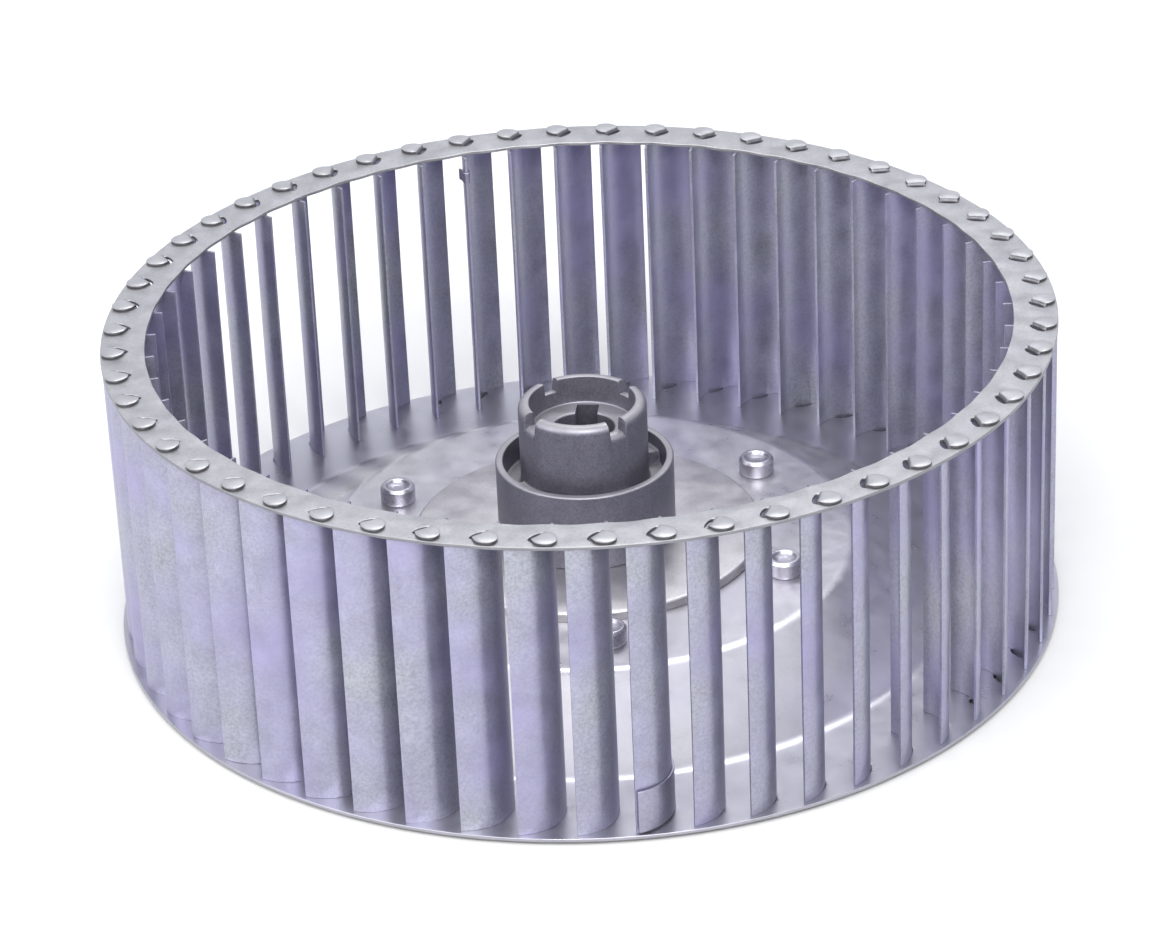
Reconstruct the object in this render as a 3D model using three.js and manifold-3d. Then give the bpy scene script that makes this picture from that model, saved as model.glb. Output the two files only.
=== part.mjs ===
// Blower motor wheel: a forward-curved centrifugal fan wheel in galvanised sheet steel.
// Millimetres, +Z up along the wheel's axis. The inlet ring is on top, the dished back plate
// is below, and the origin is on the axis at the lowest level of the wheel.

import * as THREE from 'three';
import { mergeVertices } from 'three/addons/utils/BufferGeometryUtils.js';
import Module from 'manifold-3d';

const wasm = await Module();
wasm.setup();

// ---- Driving dimensions ----

const GAP = 0.3; // clearance between neighbouring pieces

const BLADE_COUNT = 54;
const BLADE_SHEET = 0.6;
const BLADE_ARC_RADIUS = 9.55; // radius of the blade's curved section, at mid thickness
const BLADE_TURN = THREE.MathUtils.degToRad(95); // how far the section turns
const BLADE_RADIUS = 100.75; // wheel axis to the middle of the section
const BLADE_SETTING = THREE.MathUtils.degToRad(38.7); // tangent there, away from the radius
const FIRST_BLADE_ANGLE = THREE.MathUtils.degToRad(4.3);
const BLADE_STEP = (2 * Math.PI) / BLADE_COUNT;

const TAB_WIDTH = 4;
const TAB_ALONG = 0.3; // tab centre, along the section from its middle towards the outside
const LEAF_WIDTH = 5; // a tab spreads as it is bent over and pressed flat
const LEAF_SHOULDER = 1.6; // from its fold to its widest place
const LEAF_LENGTH = 4.6;

const RING_OUTER = 105;
const RING_INNER = 95.3;
const RING_SHEET = 0.8;

const PLATE_OUTER = 105.9;
const PLATE_SHEET = 0.8;
const PLATE_RIM_INNER = 83; // flat rim inside edge, where the cone starts to rise
const PLATE_FLAT_OUTER = 60; // raised flat outside edge, where the cone ends
const PLATE_RISE = 13;
const PLATE_BEND = 2.2; // length of each bend on both sides of its corner

const WHEEL_WIDTH = 68.9; // back plate underside to inlet ring top

const FLANGE_RADIUS = 55;
const FLANGE_THICKNESS = 3;
const FLANGE_BOSS_RADIUS = 39.4; // raised middle, which stands up through the plate
const FLANGE_BOSS_PROUD = 2.1; // above the plate's raised flat
const FLANGE_EDGE = 0.5;

const RIVET_COUNT = 6;
const RIVET_CIRCLE = 48;
const FIRST_RIVET_ANGLE = THREE.MathUtils.degToRad(34.1);
const RIVET_SHANK = 2.6;
const RIVET_HEAD = 3.95;
const RIVET_HEAD_HEIGHT = 3.7;
const RIVET_CHAMFER = 0.6;
const RIVET_DISH = 0.8;
const RIVET_DISH_RADIUS = 2.3;
const RIVET_REAR_HEAD = 4.4;
const RIVET_REAR_CROWN = 2.6; // flat end of the rear head
const RIVET_REAR_HEIGHT = 1.8;

const BORE = 7; // radius, for a 14 mm motor shaft
const KEYWAY_WIDTH = 5;
const KEYWAY_REACH = 10.7; // keyway floor, from the axis
const KEYWAY_ANGLE = THREE.MathUtils.degToRad(82.5);
const HUB_CUP_RADIUS = 20;
const HUB_CUP_WALL = 1.7;
const HUB_CUP_HEIGHT = 18; // above the flange's raised middle
const HUB_GROOVE_DEPTH = 6;
const HUB_BOSS_RADIUS = 14.4;
const HUB_BOSS_WALL = 2.7;
const HUB_BOSS_PROUD = 14.1; // boss rim above the cup's rim
const HUB_RECESS_DEPTH = 6.6;
const HUB_RIM_ROUND = 1.6; // outer rounding of the boss's rim
const HUB_CHAMFER = 0.5;
const HUB_SPIGOT_RADIUS = 17; // passes through the flange
const HUB_COLLAR_RADIUS = 19.5; // swaged over behind the flange
const HUB_COLLAR_THICKNESS = 2.4;
const HUB_NOTCH_WIDTH = 3.8;
const HUB_NOTCH_DEPTH = 2.9;
const HUB_RIB_WIDTH = 8.2;
const HUB_RIB_DROP = 3.1; // top of the groove's ribs, below the cup's rim
const HUB_NOTCH_ANGLES = [36, 126, 213, 302.5].map(THREE.MathUtils.degToRad);

const CLIP_SHEET = 0.6;
const LOWER_CLIP_BLADE = 41;
const LOWER_CLIP_HEIGHT = 9.8;
const LOWER_CLIP_SHORT = 0.3; // how much of the convex face its long leg leaves bare
const LOWER_CLIP_REAR_LEG = 4;
const LOWER_CLIP_LEVEL = 0.5; // underside, above the plate's rim
const UPPER_CLIP_BLADE = 15;
const UPPER_CLIP_HEIGHT = 2.7;
const UPPER_CLIP_LEVEL = 61.2;
const UPPER_CLIP_LEG = 2.6;

const RIM_SEGMENTS = 72;
const HUB_SEGMENTS = 36;
const RIVET_SEGMENTS = 10;
const LEAF_SEGMENTS = 4; // around a leaf's round end
const BEND_SEGMENTS = 2; // across each bend of the plate

const ROUND_MIDDLE = 1 - Math.SQRT1_2; // inset of a quarter round's middle point, per radius
const BITE = 1; // how far a joined piece reaches into its neighbour, and a cut past a face

// ---- Levels worked out from the dimensions ----

const PLATE_UNDER = BLADE_SHEET + GAP;
const PLATE_RIM_TOP = PLATE_UNDER + PLATE_SHEET;
const PLATE_FLAT_TOP = PLATE_RIM_TOP + PLATE_RISE;
const RING_TOP = PLATE_UNDER + WHEEL_WIDTH;
const RING_UNDER = RING_TOP - RING_SHEET;
const BLADE_BOTTOM = PLATE_RIM_TOP + GAP;
const BLADE_TOP = RING_UNDER - GAP;
const LEAF_TOP = RING_TOP + GAP + BLADE_SHEET;
const FLANGE_TOP = PLATE_FLAT_TOP - PLATE_SHEET - GAP;
const FLANGE_UNDER = FLANGE_TOP - FLANGE_THICKNESS;
const BOSS_TOP = PLATE_FLAT_TOP + FLANGE_BOSS_PROUD;
const CUP_BOTTOM = BOSS_TOP + GAP;
const CUP_TOP = BOSS_TOP + HUB_CUP_HEIGHT;
const HUB_TOP = CUP_TOP + HUB_BOSS_PROUD;
const COLLAR_TOP = FLANGE_UNDER - GAP;
const HUB_BOTTOM = COLLAR_TOP - HUB_COLLAR_THICKNESS;

// ---- Materials ----

const metal = (color, roughness, metalness) =>
  new THREE.MeshStandardMaterial({ color, roughness, metalness });

const RING_FINISH = metal(0xc9c9cc, 0.42, 0.85);
const BLADE_FINISH = metal(0xb4b6c8, 0.4, 0.85);
const PLATE_FINISH = metal(0xc2c1cb, 0.35, 0.85);
const FLANGE_FINISH = metal(0xbfbdbf, 0.35, 0.85);
const HUB_FINISH = metal(0x5d5a66, 0.6, 0.6);
const CLIP_FINISH = metal(0x9d9ba8, 0.5, 0.8);

// ---- Solid helpers ----

function toSolid(geometry) {
  const plain = geometry.clone();
  plain.deleteAttribute('normal');
  plain.deleteAttribute('uv');
  const merged = mergeVertices(plain, 1e-4);
  return new wasm.Manifold(new wasm.Mesh({
    numProp: 3,
    vertProperties: new Float32Array(merged.attributes.position.array),
    triVerts: new Uint32Array(merged.index.array),
  }));
}

function toGeometry(solid) {
  const mesh = solid.getMesh();
  const geometry = new THREE.BufferGeometry();
  geometry.setAttribute('position', new THREE.BufferAttribute(mesh.vertProperties, 3));
  geometry.setIndex(new THREE.BufferAttribute(mesh.triVerts, 1));
  geometry.computeVertexNormals();
  return geometry;
}

const join = (...solids) => solids.reduce((whole, solid) => whole.add(solid));
const cut = (body, tools) => tools.reduce((rest, tool) => rest.subtract(tool), body);

// A closed profile of [radius, height] pairs turned about the Z axis. The profile runs
// up the outside and down the inside.
function turned(profile, segments) {
  const points = [...profile, profile[0]].map(([r, z]) => new THREE.Vector2(r, z));
  return new THREE.LatheGeometry(points, segments).rotateX(Math.PI / 2).rotateZ(Math.PI / 2);
}

// An outline in the XY plane raised from one level to another.
function raised(shape, bottom, top, curveSegments = 3) {
  const settings = { depth: top - bottom, bevelEnabled: false, curveSegments };
  return new THREE.ExtrudeGeometry(shape, settings).translate(0, 0, bottom);
}

// A box from one level to another, with its middle at a radius and angle about the axis.
function block(length, width, bottom, top, radius, angle) {
  return new THREE.BoxGeometry(length, width, top - bottom)
    .translate(radius, 0, (bottom + top) / 2)
    .rotateZ(angle);
}

// ---- Blades ----

// A blade is drawn about the middle of its section: +X runs outwards along the section,
// +Y points to its convex side, and its arc is centred at (0, -BLADE_ARC_RADIUS).

// The polar angle of a place on the section, measured along it from its middle.
const sectionAngle = (along) => Math.PI / 2 - along / BLADE_ARC_RADIUS;
const SECTION_HALF = (BLADE_TURN * BLADE_ARC_RADIUS) / 2;

function tabFrame() {
  const turn = TAB_ALONG / BLADE_ARC_RADIUS;
  const x = BLADE_ARC_RADIUS * Math.sin(turn);
  const y = BLADE_ARC_RADIUS * (Math.cos(turn) - 1);
  return new THREE.Matrix4().makeRotationZ(-turn).setPosition(x, y, 0);
}

function bladeFrame(index) {
  const angle = FIRST_BLADE_ANGLE + index * BLADE_STEP;
  const x = BLADE_RADIUS * Math.cos(angle);
  const y = BLADE_RADIUS * Math.sin(angle);
  return new THREE.Matrix4().makeRotationZ(angle - BLADE_SETTING).setPosition(x, y, 0);
}

function bladeStrip() {
  const inside = BLADE_ARC_RADIUS - BLADE_SHEET / 2;
  const outside = BLADE_ARC_RADIUS + BLADE_SHEET / 2;
  const start = sectionAngle(-SECTION_HALF);
  const end = sectionAngle(SECTION_HALF);
  const section = new THREE.Shape()
    .absarc(0, -BLADE_ARC_RADIUS, outside, start, end, true)
    .absarc(0, -BLADE_ARC_RADIUS, inside, end, start, false);
  return raised(section, BLADE_BOTTOM, BLADE_TOP);
}

// The tab's neck through its slot, and its round leaf bent over towards the convex side.
function tab(neckBottom, neckTop, leafBottom) {
  const half = BLADE_SHEET / 2;
  const neck = new THREE.BoxGeometry(TAB_WIDTH, BLADE_SHEET, neckTop - neckBottom)
    .translate(0, 0, (neckBottom + neckTop) / 2);
  const roundEnd = LEAF_LENGTH - LEAF_SHOULDER;
  const leaf = new THREE.Shape()
    .moveTo(-TAB_WIDTH / 2, -half)
    .lineTo(TAB_WIDTH / 2, -half)
    .absellipse(0, LEAF_SHOULDER, LEAF_WIDTH / 2, roundEnd, 0, Math.PI, false, 0);
  const plate = raised(leaf, leafBottom, leafBottom + BLADE_SHEET, LEAF_SEGMENTS / 2);
  return [neck, plate].map((piece) => toSolid(piece.applyMatrix4(tabFrame())));
}

function makeBlade() {
  const upper = tab(BLADE_TOP - BITE, LEAF_TOP, LEAF_TOP - BLADE_SHEET);
  const lower = tab(0, BLADE_BOTTOM + BITE, 0);
  return toGeometry(join(toSolid(bladeStrip()), ...upper, ...lower));
}

// The outline of one blade's slot, as it is cut in the ring and in the plate.
function slotCorners(index) {
  const length = TAB_WIDTH / 2 + GAP;
  const width = BLADE_SHEET / 2 + GAP;
  const frame = bladeFrame(index).multiply(tabFrame());
  return [[-length, -width], [length, -width], [length, width], [-length, width]].map(
    ([x, y]) => new THREE.Vector3(x, y, 0).applyMatrix4(frame),
  );
}

const slotOutlines = Array.from({ length: BLADE_COUNT }, (_, index) => slotCorners(index));

// ---- Inlet ring ----

function makeRing() {
  const disc = new THREE.Shape().absarc(0, 0, RING_OUTER, 0, 2 * Math.PI, false);
  disc.holes.push(new THREE.Path().absarc(0, 0, RING_INNER, 0, 2 * Math.PI, true));
  disc.holes.push(...slotOutlines.map((corners) => new THREE.Path(corners)));
  return raised(disc, RING_UNDER, RING_TOP, RIM_SEGMENTS / 2);
}

// ---- Dished back plate ----

// A sheet's closed profile: its top line, and the same line one thickness below it.
function sheetProfile(topLine, thickness) {
  const under = topLine.map((point, i) => {
    const before = topLine[Math.max(i - 1, 0)];
    const after = topLine[Math.min(i + 1, topLine.length - 1)];
    const along = after.clone().sub(before).normalize();
    return [point.x - along.y * thickness, point.y + along.x * thickness];
  });
  return [...topLine.map((point) => [point.x, point.y]), ...under.reverse()];
}

function makePlate() {
  const inner = FLANGE_BOSS_RADIUS + GAP;
  const lower = new THREE.Vector2(PLATE_RIM_INNER, PLATE_RIM_TOP);
  const upper = new THREE.Vector2(PLATE_FLAT_OUTER, PLATE_FLAT_TOP);
  const slope = upper.clone().sub(lower).setLength(PLATE_BEND);
  const top = new THREE.Path()
    .moveTo(PLATE_OUTER, PLATE_RIM_TOP)
    .lineTo(lower.x + PLATE_BEND, lower.y)
    .quadraticCurveTo(lower.x, lower.y, lower.x + slope.x, lower.y + slope.y)
    .lineTo(upper.x - slope.x, upper.y - slope.y)
    .quadraticCurveTo(upper.x, upper.y, upper.x - PLATE_BEND, upper.y)
    .lineTo(inner, PLATE_FLAT_TOP);
  const plate = turned(sheetProfile(top.getPoints(BEND_SEGMENTS), PLATE_SHEET), RIM_SEGMENTS);
  const slots = slotOutlines.map((corners) =>
    raised(new THREE.Shape(corners), PLATE_UNDER - BITE, PLATE_RIM_TOP + BITE));
  const holeRadius = RIVET_SHANK + GAP;
  const holes = rivetAngles.map((angle) =>
    new THREE.CylinderGeometry(holeRadius, holeRadius, PLATE_SHEET + 2 * BITE, RIVET_SEGMENTS)
      .rotateX(Math.PI / 2)
      .translate(RIVET_CIRCLE, 0, PLATE_FLAT_TOP - PLATE_SHEET / 2)
      .rotateZ(angle));
  return toGeometry(cut(toSolid(plate), [...slots, ...holes].map(toSolid)));
}

// ---- Hub flange with its six rivets ----

const rivetAngles = Array.from(
  { length: RIVET_COUNT },
  (_, i) => FIRST_RIVET_ANGLE + (i * 2 * Math.PI) / RIVET_COUNT,
);

function makeRivet(angle) {
  const headBottom = PLATE_FLAT_TOP + GAP;
  const headTop = headBottom + RIVET_HEAD_HEIGHT;
  const rearBottom = FLANGE_UNDER - RIVET_REAR_HEIGHT;
  const rivet = turned([
    [0, rearBottom],
    [RIVET_REAR_CROWN, rearBottom],
    [RIVET_REAR_HEAD, FLANGE_UNDER - RIVET_REAR_HEIGHT / 3],
    [RIVET_REAR_HEAD, FLANGE_UNDER + GAP],
    [RIVET_SHANK, FLANGE_UNDER + GAP],
    [RIVET_SHANK, headBottom],
    [RIVET_HEAD, headBottom],
    [RIVET_HEAD, headTop - RIVET_CHAMFER],
    [RIVET_HEAD - RIVET_CHAMFER, headTop],
    [RIVET_DISH_RADIUS, headTop],
    [0, headTop - RIVET_DISH],
  ], RIVET_SEGMENTS);
  return toSolid(rivet.translate(RIVET_CIRCLE, 0, 0).rotateZ(angle));
}

function makeFlange() {
  const bore = HUB_SPIGOT_RADIUS + GAP;
  const disc = turned([
    [bore, FLANGE_UNDER],
    [FLANGE_RADIUS, FLANGE_UNDER],
    [FLANGE_RADIUS, FLANGE_TOP],
    [FLANGE_BOSS_RADIUS, FLANGE_TOP],
    [FLANGE_BOSS_RADIUS, BOSS_TOP - FLANGE_EDGE],
    [FLANGE_BOSS_RADIUS - FLANGE_EDGE, BOSS_TOP],
    [bore, BOSS_TOP],
  ], HUB_SEGMENTS);
  return toGeometry(join(toSolid(disc), ...rivetAngles.map(makeRivet)));
}

// ---- Hub ----

function makeHub() {
  const cupInner = HUB_CUP_RADIUS - HUB_CUP_WALL;
  const recess = HUB_BOSS_RADIUS - HUB_BOSS_WALL;
  const grooveFloor = CUP_TOP - HUB_GROOVE_DEPTH;
  const recessFloor = HUB_TOP - HUB_RECESS_DEPTH;
  const body = toSolid(turned([
    [BORE, HUB_BOTTOM],
    [HUB_COLLAR_RADIUS, HUB_BOTTOM],
    [HUB_COLLAR_RADIUS, COLLAR_TOP],
    [HUB_SPIGOT_RADIUS, COLLAR_TOP],
    [HUB_SPIGOT_RADIUS, CUP_BOTTOM],
    [HUB_CUP_RADIUS, CUP_BOTTOM],
    [HUB_CUP_RADIUS, CUP_TOP - HUB_CHAMFER],
    [HUB_CUP_RADIUS - HUB_CHAMFER, CUP_TOP],
    [cupInner, CUP_TOP],
    [cupInner, grooveFloor],
    [HUB_BOSS_RADIUS, grooveFloor],
    [HUB_BOSS_RADIUS, HUB_TOP - HUB_RIM_ROUND],
    [HUB_BOSS_RADIUS - HUB_RIM_ROUND * ROUND_MIDDLE, HUB_TOP - HUB_RIM_ROUND * ROUND_MIDDLE],
    [HUB_BOSS_RADIUS - HUB_RIM_ROUND, HUB_TOP],
    [recess, HUB_TOP],
    [recess, recessFloor],
    [BORE, recessFloor],
  ], HUB_SEGMENTS));

  const wallMiddle = (recess + HUB_BOSS_RADIUS) / 2;
  const notches = HUB_NOTCH_ANGLES.map((angle) =>
    block(HUB_BOSS_WALL + 2 * BITE, HUB_NOTCH_WIDTH, HUB_TOP - HUB_NOTCH_DEPTH, HUB_TOP + BITE,
      wallMiddle, angle));
  const keyway = block(KEYWAY_REACH, KEYWAY_WIDTH, HUB_BOTTOM - BITE, recessFloor + BITE,
    KEYWAY_REACH / 2, KEYWAY_ANGLE);

  const ribLength = cupInner - HUB_BOSS_RADIUS + 2 * BITE;
  const ribs = HUB_NOTCH_ANGLES.map((angle) =>
    block(ribLength, HUB_RIB_WIDTH, grooveFloor - BITE, CUP_TOP - HUB_RIB_DROP,
      (cupInner + HUB_BOSS_RADIUS) / 2, angle));
  return toGeometry(cut(join(body, ...ribs.map(toSolid)), [...notches, keyway].map(toSolid)));
}

// ---- Balance clips ----

// A sheet clip folded over a blade's inner edge, with a leg along each side of the blade.
function clip(convexLeg, concaveLeg, bottom, height) {
  const centre = -BLADE_ARC_RADIUS;
  const clear = BLADE_SHEET / 2 + GAP;
  const outer = BLADE_ARC_RADIUS + clear;
  const inner = BLADE_ARC_RADIUS - clear;
  const edge = -SECTION_HALF;
  const fold = sectionAngle(edge - GAP - CLIP_SHEET);
  const pocket = sectionAngle(edge - GAP);
  const convexEnd = sectionAngle(edge + convexLeg);
  const concaveEnd = sectionAngle(edge + concaveLeg);
  const outline = new THREE.Shape()
    .absarc(0, centre, outer + CLIP_SHEET, fold, convexEnd, true)
    .absarc(0, centre, outer, convexEnd, pocket, false)
    .absarc(0, centre, inner, pocket, concaveEnd, true)
    .absarc(0, centre, inner - CLIP_SHEET, concaveEnd, fold, false);
  return raised(outline, bottom, bottom + height);
}

// ---- Assembly ----

const wheel = new THREE.Group();

function place(name, geometry, material, frame = new THREE.Matrix4()) {
  const mesh = new THREE.Mesh(geometry, material.clone());
  mesh.name = name;
  frame.decompose(mesh.position, mesh.quaternion, mesh.scale);
  wheel.add(mesh);
}

place('inlet_ring', makeRing(), RING_FINISH);
place('back_plate', makePlate(), PLATE_FINISH);
place('hub_flange', makeFlange(), FLANGE_FINISH);
place('hub', makeHub(), HUB_FINISH);

const blade = makeBlade();
for (let index = 0; index < BLADE_COUNT; index += 1) {
  const name = `blade_${String(index + 1).padStart(2, '0')}`;
  place(name, blade, BLADE_FINISH, bladeFrame(index));
}

const lowerClip = clip(2 * SECTION_HALF - LOWER_CLIP_SHORT, LOWER_CLIP_REAR_LEG,
  PLATE_RIM_TOP + LOWER_CLIP_LEVEL, LOWER_CLIP_HEIGHT);
place('balance_clip_lower', lowerClip, CLIP_FINISH, bladeFrame(LOWER_CLIP_BLADE));

const upperClip = clip(UPPER_CLIP_LEG, UPPER_CLIP_LEG, PLATE_RIM_TOP + UPPER_CLIP_LEVEL,
  UPPER_CLIP_HEIGHT);
place('balance_clip_upper', upperClip, CLIP_FINISH, bladeFrame(UPPER_CLIP_BLADE));

export default wheel;
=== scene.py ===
"""Blower motor wheel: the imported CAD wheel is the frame, and each sheet, rivet and casting is
rebuilt here as a finely rounded piece with its own procedural metal."""

import math
import random

import bmesh
import bpy
from mathutils import Matrix, Vector, noise
from mathutils.geometry import delaunay_2d_cdt


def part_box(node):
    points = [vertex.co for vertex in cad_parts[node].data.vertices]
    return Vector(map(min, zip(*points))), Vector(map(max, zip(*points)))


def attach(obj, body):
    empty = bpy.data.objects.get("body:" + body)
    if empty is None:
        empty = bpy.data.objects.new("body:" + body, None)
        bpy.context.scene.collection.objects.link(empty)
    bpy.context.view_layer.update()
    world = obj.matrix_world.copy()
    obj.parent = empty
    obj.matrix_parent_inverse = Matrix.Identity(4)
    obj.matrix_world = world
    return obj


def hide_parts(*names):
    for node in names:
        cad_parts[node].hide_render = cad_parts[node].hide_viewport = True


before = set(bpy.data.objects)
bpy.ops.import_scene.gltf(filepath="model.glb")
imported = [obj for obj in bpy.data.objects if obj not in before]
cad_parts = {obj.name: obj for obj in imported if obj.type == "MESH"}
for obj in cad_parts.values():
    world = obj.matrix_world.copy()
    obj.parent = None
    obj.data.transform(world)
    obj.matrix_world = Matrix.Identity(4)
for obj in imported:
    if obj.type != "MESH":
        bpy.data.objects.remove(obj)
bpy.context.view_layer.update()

MM = 0.001
TAU = 2 * math.pi
RANDOM = random.Random(7)

# ---- Sizes in millimetres. They are the CAD model's, except that a size marked "own" either
# differs a little from the CAD model's or isn't in it ----

BLADE_COUNT = 54
BLADE_SHEET = 0.6
BLADE_ARC_RADIUS = 9.55
BLADE_TURN = math.radians(95)
BLADE_RADIUS = 100.75
BLADE_SETTING = math.radians(38.7)
FIRST_BLADE_ANGLE = math.radians(4.3)
BLADE_STEP = TAU / BLADE_COUNT
TAB_WIDTH = 4.0
TAB_ALONG = 0.3
LEAF_WIDTH = 5.0
LEAF_SHOULDER = 1.6
LEAF_LENGTH = 4.6
SHEET = 0.8
RING_INNER = 95.3
PLATE_RIM_INNER = 83.0
PLATE_FLAT_OUTER = 60.0
RIVET_COUNT = 6
RIVET_CIRCLE = 48.0
FIRST_RIVET_ANGLE = math.radians(34.1)
RIVET_SHANK = 2.6
RIVET_HEAD = 4.0  # radius, own
RIVET_HEAD_HEIGHT = 3.95  # own
RIVET_WALL = 0.85  # own
RIVET_DISH = 1.1  # own
RIVET_RIM_INSET = 0.55  # from the head's side to the crest of its rolled rim, own
RIVET_REAR_HEAD = 4.4
FLANGE_BOSS_RADIUS = 39.4
FLANGE_BOSS_PROUD = 2.1  # above the plate's raised flat
FLANGE_THICKNESS = 3.0
HUB_BOSS_RADIUS = 14.4
HUB_BOSS_PROUD = 14.1  # boss rim above the cup's rim
HUB_BOSS_WALL = 2.55  # own
HUB_RIM_ROUND = 1.75  # own
HUB_CUP_RADIUS = 20.0
HUB_CUP_INNER = HUB_CUP_RADIUS - 1.7
HUB_GROOVE_DEPTH = 6.0
HUB_RECESS_DEPTH = 6.6
HUB_SPIGOT_RADIUS = 17.0
HUB_COLLAR_RADIUS = 19.5
BORE = 7.0
KEYWAY_WIDTH = 5.0
KEYWAY_REACH = 10.7
KEYWAY_ANGLE = math.radians(82.5)
NOTCH_ANGLES = [math.radians(a) for a in (36, 126, 213, 302.5)]
NOTCH_WIDTH = 3.8
NOTCH_DEPTH = 2.9
RIB_HALF_ANGLE = math.radians(14.3)  # own, close to the CAD model's rib width
RIB_DROP = 3.1
CLIP_SHEET = 0.5  # own
LOWER_CLIP_BLADE = 41
LOWER_CLIP_SHORT = 0.3  # how much of the blade's convex face the long leg leaves bare
LOWER_CLIP_REAR_LEG = 4.0
LOWER_CLIP_REAR_RISE = 5.5  # rear leg above the front leg, own
UPPER_CLIP_BLADE = 15
UPPER_CLIP_LEG = 2.6
CAD_GAP = 0.3  # daylight that the CAD model leaves between sheets that touch
CONTACT = 0.02  # daylight left here between most sheets that touch


def in_mm(node):
    """Lowest and highest corner of a CAD node, in millimetres."""
    low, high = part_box(node)
    return low / MM, high / MM


# ---- Levels and outer radii, worked out from the frame, in millimetres ----

RING_LOW, RING_HIGH = in_mm("inlet_ring")
PLATE_LOW, PLATE_HIGH = in_mm("back_plate")
FLANGE_HIGH = in_mm("hub_flange")[1]
HUB_LOW, HUB_HIGH = in_mm("hub")
RING_OUTER = RING_HIGH.x
RING_TOP = RING_HIGH.z
RING_UNDER = RING_LOW.z
PLATE_OUTER = PLATE_HIGH.x
PLATE_UNDER = PLATE_LOW.z
PLATE_RIM_TOP = PLATE_UNDER + SHEET
PLATE_FLAT_TOP = PLATE_HIGH.z
FLANGE_RADIUS = FLANGE_HIGH.x
FLANGE_TOP = PLATE_FLAT_TOP - SHEET - CAD_GAP
FLANGE_UNDER = FLANGE_TOP - FLANGE_THICKNESS
BOSS_TOP = PLATE_FLAT_TOP + FLANGE_BOSS_PROUD
HUB_TOP = HUB_HIGH.z
CUP_TOP = HUB_TOP - HUB_BOSS_PROUD
GROOVE_FLOOR = CUP_TOP - HUB_GROOVE_DEPTH
RECESS_FLOOR = HUB_TOP - HUB_RECESS_DEPTH


# ---- Small helpers ----

def polar(radius, angle, z=0.0):
    """A point at a radius and angle about the wheel's axis."""
    return Vector((radius * math.cos(angle), radius * math.sin(angle), z))


def smooth(t):
    """0 to 1 with a soft start and end, as t goes from 0 to 1."""
    t = min(max(t, 0.0), 1.0)
    return t * t * (3 - 2 * t)


def span(low, high, steps):
    """Evenly spaced values from low to high, both included."""
    return [low + (high - low) * i / steps for i in range(steps + 1)]


def even_angles(count):
    return [TAU * i / count for i in range(count)]


def near(angle, middle):
    """How far an angle is from another, either way round."""
    return abs((angle - middle + math.pi) % TAU - math.pi)


def fillet(before, corner, after, radius, steps):
    """The arc that rounds a corner between two straight lines."""
    back, ahead = (before - corner).normalized(), (after - corner).normalized()
    half = back.angle(ahead) / 2
    reach = radius / math.tan(half)
    centre = corner + (back + ahead).normalized() * (radius / math.sin(half))
    first, last = corner + back * reach, corner + ahead * reach
    arc = []
    for i in range(steps + 1):
        spoke = (first - centre).lerp(last - centre, i / steps)
        arc.append(centre + spoke.normalized() * radius)
    return arc


def rounded_line(corners, radius, steps):
    """An open line through corners of (radius, level), with its inner corners rounded."""
    spots = [Vector(corner) for corner in corners]
    line = [spots[0]]
    for before, corner, after in zip(spots, spots[1:], spots[2:]):
        line += fillet(before, corner, after, radius, steps)
    return line + [spots[-1]]


def round_corners(corners, radii, steps=4):
    """A closed profile of (radius, level) corners, each rounded by its own radius."""
    line = []
    count = len(corners)
    for i, size in enumerate(radii):
        before, corner, after = (Vector(corners[(i + k) % count]) for k in (-1, 0, 1))
        line += fillet(before, corner, after, size, steps) if size else [corner]
    return line


def mesh_object(name, points, faces):
    """A new object from points in millimetres."""
    mesh = bpy.data.meshes.new(name)
    mesh.from_pydata([Vector(p) * MM for p in points], [], faces)
    mesh.validate()
    made = bpy.data.objects.new(name, mesh)
    bpy.context.scene.collection.objects.link(made)
    return made


def tidy_mesh(made, merge=0.001):
    """Joins doubled points and turns every face outwards."""
    work = bmesh.new()
    work.from_mesh(made.data)
    bmesh.ops.remove_doubles(work, verts=work.verts, dist=merge * MM)
    bmesh.ops.dissolve_degenerate(work, edges=work.edges, dist=merge * MM * 0.5)
    bmesh.ops.recalc_face_normals(work, faces=work.faces)
    work.to_mesh(made.data)
    work.free()


def upward(made):
    """Turns an open sheet's faces so that its top side is outside."""
    work = bmesh.new()
    work.from_mesh(made.data)
    work.normal_update()
    tilt = sum(face.normal.z * face.calc_area() for face in work.faces)
    if tilt < 0:
        bmesh.ops.reverse_faces(work, faces=work.faces)
    work.to_mesh(made.data)
    work.free()


def soften(made, bevel=0.0, segments=2, angle=40):
    """Shades smoothly, and rounds edges sharper than the angle, or keeps them sharp if there
    is no bevel."""
    for face in made.data.polygons:
        face.use_smooth = True
    if bevel:
        rounding = made.modifiers.new("edges", "BEVEL")
        rounding.width = bevel * MM
        rounding.segments = segments
        rounding.limit_method = "ANGLE"
        rounding.angle_limit = math.radians(angle)
        rounding.use_clamp_overlap = True
        weighted = made.modifiers.new("normals", "WEIGHTED_NORMAL")
        weighted.weight = 100
    else:
        made.data.set_sharp_from_angle(angle=math.radians(angle))


def thicken(made, thickness, offset):
    """Gives an open sheet its thickness, to both sides for offset 0 and inwards for -1."""
    walls = made.modifiers.new("sheet", "SOLIDIFY")
    walls.thickness = thickness * MM
    walls.offset = offset
    walls.use_even_offset = True
    walls.use_quality_normals = True


def finish_piece(made, material, slot, *nodes):
    """Gives a piece its material and body, and hides the CAD nodes that it replaces. The slot is
    not used.
    """
    made.data.materials.clear()
    made.data.materials.append(material)
    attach(made, "root")
    if nodes:
        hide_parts(*nodes)


# ---- Materials ----

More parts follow.
